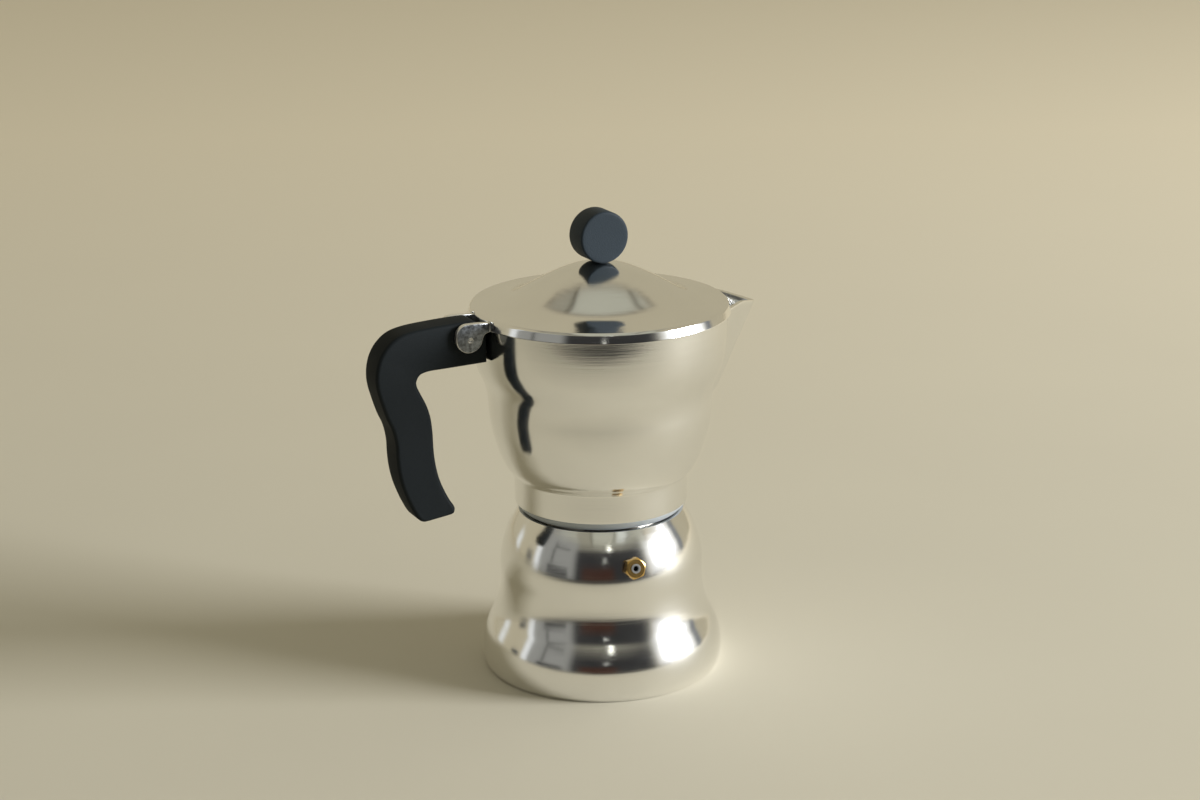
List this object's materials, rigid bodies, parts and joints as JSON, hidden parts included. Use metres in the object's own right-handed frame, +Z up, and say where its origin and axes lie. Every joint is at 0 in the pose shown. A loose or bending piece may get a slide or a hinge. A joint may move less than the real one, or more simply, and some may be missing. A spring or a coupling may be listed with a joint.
{
  "type": "stovetop coffee pot",
  "caption": "Waisted aluminium stovetop coffee pot with a screw-on collector, beak spout, hinged hat-shaped lid, disc knob, flat wavy handle and safety valve.",
  "frame": {"origin": "on the pot's axis at the flat underside of the boiler, where it rests on a hob", "axes": "+Z up along the pot's axis, +X towards the beak, -X towards the handle, -Y towards the side with the safety valve"},
  "size_m": [0.1529, 0.0954, 0.1719],
  "materials": {
    "polished_aluminium": "spun and mirror polished",
    "satin_aluminium": "satin, as pressed",
    "black_plastic": "fine matte grain, heat-resistant",
    "valve_brass": "turned",
    "bright_steel": "bright",
    "seal_silicone": "matte, food-grade silicone",
    "seal_fibre": "matte fibre"
  },
  "bodies": {
    "boiler": {"boiler": "polished_aluminium", "valve_body": "valve_brass", "valve_washer": "seal_fibre", "valve_retainer": "bright_steel"},
    "valve_ball": {"valve_ball": "bright_steel", "valve_spring": "bright_steel"},
    "funnel": {"funnel": "satin_aluminium", "funnel_strainer": "satin_aluminium"},
    "gasket": {"gasket": "seal_silicone"},
    "filter_plate": {"filter_plate": "satin_aluminium"},
    "collector": {"collector": "polished_aluminium", "column": "satin_aluminium", "column_cap": "satin_aluminium", "handle": "black_plastic", "hinge_pin": "bright_steel"},
    "lid": {"lid": "polished_aluminium", "knob": "black_plastic", "knob_screw": "bright_steel", "knob_washer": "bright_steel"}
  },
  "joints": [
    {"name": "funnel_lift", "type": "slide", "parent": "boiler", "child": "funnel", "axis": [0, 0, 1], "range_m": [0, 0.075]},
    {"name": "collector_lift", "type": "slide", "parent": "funnel", "child": "gasket", "axis": [0, 0, 1], "range_m": [0, 0.075]},
    {"name": "collector_rise", "type": "slide", "parent": "gasket", "child": "filter_plate", "axis": [0, 0, 1], "range_m": [0, 0.006]},
    {"name": "collector_turn", "type": "hinge", "parent": "filter_plate", "child": "collector", "pos_m": [0, 0, 0.068], "axis": [0, 0, 1], "range_deg": [0, 720]},
    {"name": "lid_hinge", "type": "hinge", "parent": "collector", "child": "lid", "pos_m": [-0.0541, 0, 0.1321], "axis": [0, -1, 0], "range_deg": [0, 90]},
    {"name": "valve_open", "type": "slide", "parent": "boiler", "child": "valve_ball", "axis": [-0.1339, -0.9651, 0.225], "range_m": [0, 0.0005], "stiffness_N_per_m": 400, "springref_m": -0.002}
  ],
  "couplings": [
    {"joint": "collector_rise", "follows": "collector_turn", "m_per_rad": 0.00047746}
  ]
}
